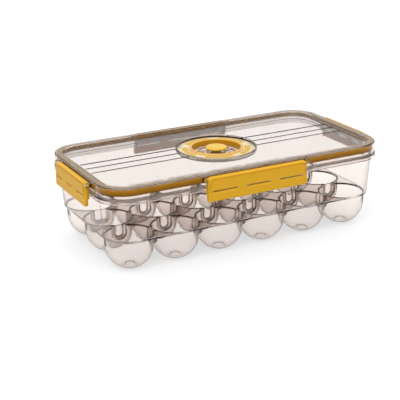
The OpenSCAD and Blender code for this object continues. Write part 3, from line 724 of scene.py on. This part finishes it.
# %% Knob
def knob_shape(steps=72):
    """Angle by section, with one point on the axis at each end joined by a fan."""
    share = np.linspace(0.12, 1, 7)[:-1]
    flat = KNOB_RADIUS - KNOB_ROUND
    dome = np.stack([flat * share, KNOB_TOP - KNOB_DOME * share ** 2], axis=1)
    turn = np.radians(np.linspace(90, -90, 9))
    rim = np.stack([flat + KNOB_ROUND * np.cos(turn),
                    KNOB_TOP - KNOB_DOME - KNOB_ROUND + KNOB_ROUND * np.sin(turn)], axis=1)
    below = np.array([[KNOB_RADIUS - 1.6, KNOB_TOP - KNOB_HEAD + 0.02], [STEM + 1.4, BOSS_TOP + 0.5],
                      [STEM + 0.8, BOSS_TOP], [STEM, BOSS_TOP - 0.05],
                      [STEM, STEM_LOW + STEM_ROUND], [STEM - STEM_ROUND, STEM_LOW]])
    section = np.concatenate([dome, rim, below])
    angle = np.arange(steps) * 2 * np.pi / steps
    radius, angle = np.broadcast_arrays(section[None, :, 0], angle[:, None])
    ring = spun(radius, np.broadcast_to(section[None, :, 1], radius.shape), angle).reshape(-1, 3)
    poles = np.array([[0, 0, KNOB_TOP], [0, 0, STEM_LOW]])
    first = np.arange(steps) * len(section)
    last, on = first + len(section) - 1, np.roll(first, -1)
    top = np.full(steps, len(ring))
    top_fan = np.stack([top, first, on], axis=1)
    low_fan = np.stack([top + 1, on + len(section) - 1, last], axis=1)
    quads = grid_faces(steps, len(section), round_rows=True)[:, ::-1]
    return np.concatenate([ring, poles]), quads.tolist() + top_fan.tolist() + low_fan.tolist()


new_piece("vent_knob", *knob_shape(), knob_plastic, "vent", "knob", sharp=50.0)

# %% [markdown]
# ## Floor
# The studio has a white floor. Lamps strong enough to turn it white would bleach the box, so rays
# from the camera, and those that glass and gloss send on, get extra white from the floor itself,
# and it keeps a soft shadow.

# %% Floor
FLOOR_SIZE, FLOOR_LEVEL = 12.0, -0.0002


def ray_value(tree, camera, glossy, transmission):
    """A number that depends on the kind of ray: each kind adds its own share, others add none."""
    path = add_node(tree, "ShaderNodeLightPath")
    total = None
    shares = {"Is Camera Ray": camera, "Is Glossy Ray": glossy, "Is Transmission Ray": transmission}
    for kind, share in shares.items():
        add = add_math(tree, "MULTIPLY_ADD")
        add.inputs[1].default_value = share
        add.inputs[2].default_value = 0.0
        tree.links.new(path.outputs[kind], add.inputs[0])
        if total is not None:
            tree.links.new(total, add.inputs[2])
        total = add.outputs["Value"]
    return total


studio_white = new_material("studio white", Base_Color=(0.5, 0.5, 0.5, 1), Roughness=1.0,
                            Specular_IOR_Level=0.0, Emission_Color=(1, 1, 1, 1))
lift = ray_value(studio_white.node_tree, camera=0.6, glossy=0.15, transmission=0.75)
studio_white.node_tree.links.new(lift, principled(studio_white).inputs["Emission Strength"])
bpy.ops.mesh.primitive_plane_add(size=FLOOR_SIZE, location=(0, 0, FLOOR_LEVEL))
floor = bpy.context.object
floor.name = "studio floor"
floor.data.materials.append(studio_white)
print("floor", FLOOR_SIZE, "m wide")

# %% [markdown]
# ## Surround
# The studio's walls are white. Its ceiling is a tenth darker to light that comes through glass,
# as a studio's is, which gives the clear walls their body, and what gloss mirrors is a fifth
# darker. It could be a room with lamps in it, but a world needs no geometry and adds no noise.

# %% World
CEILING_FROM, CEILING_TO, CEILING_SHADE, MIRROR_SHADE = 0.25, 0.55, 0.1, 0.2
world = bpy.data.worlds.new("studio surround")
bpy.context.scene.world = world
world.use_nodes = True
world_tree = world.node_tree
background = set_sockets(world_tree.nodes["Background"], {"Color": (1, 1, 1, 1)})
direction = add_node(world_tree, "ShaderNodeTexCoord")
direction_parts = add_node(world_tree, "ShaderNodeSeparateXYZ")
ceiling = add_node(world_tree, "ShaderNodeMapRange", From_Min=CEILING_FROM, From_Max=CEILING_TO,
                   To_Min=0.0, To_Max=CEILING_SHADE)
ceiling.interpolation_type = "SMOOTHSTEP"
ray = add_node(world_tree, "ShaderNodeLightPath")
shade = add_math(world_tree, "MULTIPLY")
mirrored = add_math(world_tree, "MULTIPLY_ADD")
strength = add_math(world_tree, "SUBTRACT")
mirrored.inputs[1].default_value = -MIRROR_SHADE
mirrored.inputs[2].default_value = 1.0
world_tree.links.new(direction.outputs["Generated"], direction_parts.inputs["Vector"])
world_tree.links.new(direction_parts.outputs["Z"], ceiling.inputs["Value"])
world_tree.links.new(ceiling.outputs["Result"], shade.inputs[0])
world_tree.links.new(ray.outputs["Is Transmission Ray"], shade.inputs[1])
world_tree.links.new(ray.outputs["Is Glossy Ray"], mirrored.inputs[0])
world_tree.links.new(mirrored.outputs["Value"], strength.inputs[0])
world_tree.links.new(shade.outputs["Value"], strength.inputs[1])
world_tree.links.new(strength.outputs["Value"], background.inputs["Strength"])
print("ceiling", CEILING_SHADE, "darker through glass, mirrors", MIRROR_SHADE, "darker")

# %% [markdown]
# ## Light paths and lamp
# Light has to cross many walls of the box before it leaves it, two surfaces each, so the paths
# may be longer than Blender's default. One large soft lamp from the front left gives the latches
# their shape. A smaller one would be crisper, but it would dot the clear cups with highlights.

# %% Light paths
CLEAR_BOUNCES, GLOSS_BOUNCES = 64, 12
cycles = bpy.context.scene.cycles
cycles.max_bounces = CLEAR_BOUNCES
cycles.transmission_bounces = CLEAR_BOUNCES
cycles.transparent_max_bounces = CLEAR_BOUNCES
cycles.glossy_bounces = GLOSS_BOUNCES
print("bounces", CLEAR_BOUNCES, "through clear walls,", GLOSS_BOUNCES, "off gloss")

# %% Lamp
LAMP_PLACE, LAMP_TARGET, LAMP_SIZE, LAMP_POWER = Vector((-0.6, -0.8, 1.6)), Vector((0, 0, 0.05)), 1.0, 6.0
softbox = bpy.data.lights.new("key softbox", "AREA")
softbox.size = LAMP_SIZE
softbox.energy = LAMP_POWER
lamp = bpy.data.objects.new("key softbox", softbox)
bpy.context.collection.objects.link(lamp)
lamp.location = LAMP_PLACE
lamp.rotation_euler = (LAMP_TARGET - LAMP_PLACE).to_track_quat("-Z", "Y").to_euler()
print("lamp", round((LAMP_TARGET - LAMP_PLACE).length, 2), "m away")

# %% [markdown]
# ## Camera
# The view is that of the photograph: in front, to the left and 20 degrees above the box, through
# a long lens. It could be set by eye, but its place was solved from the printed sizes of the box,
# so that every edge falls where the photograph has it.

# %% Camera
CAMERA_PLACE = Vector((-0.49474, -0.92077, 0.4098))
YAW, TILT, ROLL = map(math.radians, (27.28, 19.99, -0.97))
LENS, SENSOR = 95.09, 36.0
ahead = np.array([math.sin(YAW) * math.cos(TILT), math.cos(YAW) * math.cos(TILT), -math.sin(TILT)])
side = np.cross(ahead, [0, 0, 1])
side /= np.linalg.norm(side)
above = np.cross(side, ahead)
camera_x = math.cos(ROLL) * side + math.sin(ROLL) * above
camera_y = -math.sin(ROLL) * side + math.cos(ROLL) * above
axes = np.column_stack([camera_x, camera_y, -ahead])
view = bpy.data.cameras.new("view")
view.lens = LENS
view.sensor_width = SENSOR
camera = bpy.data.objects.new("view", view)
camera.matrix_world = Matrix.Translation(CAMERA_PLACE) @ Matrix(axes.tolist()).to_4x4()
bpy.context.collection.objects.link(camera)
bpy.context.scene.camera = camera
bpy.context.scene.view_settings.view_transform = "Standard"
print("camera", round(CAMERA_PLACE.length, 2), "m away")
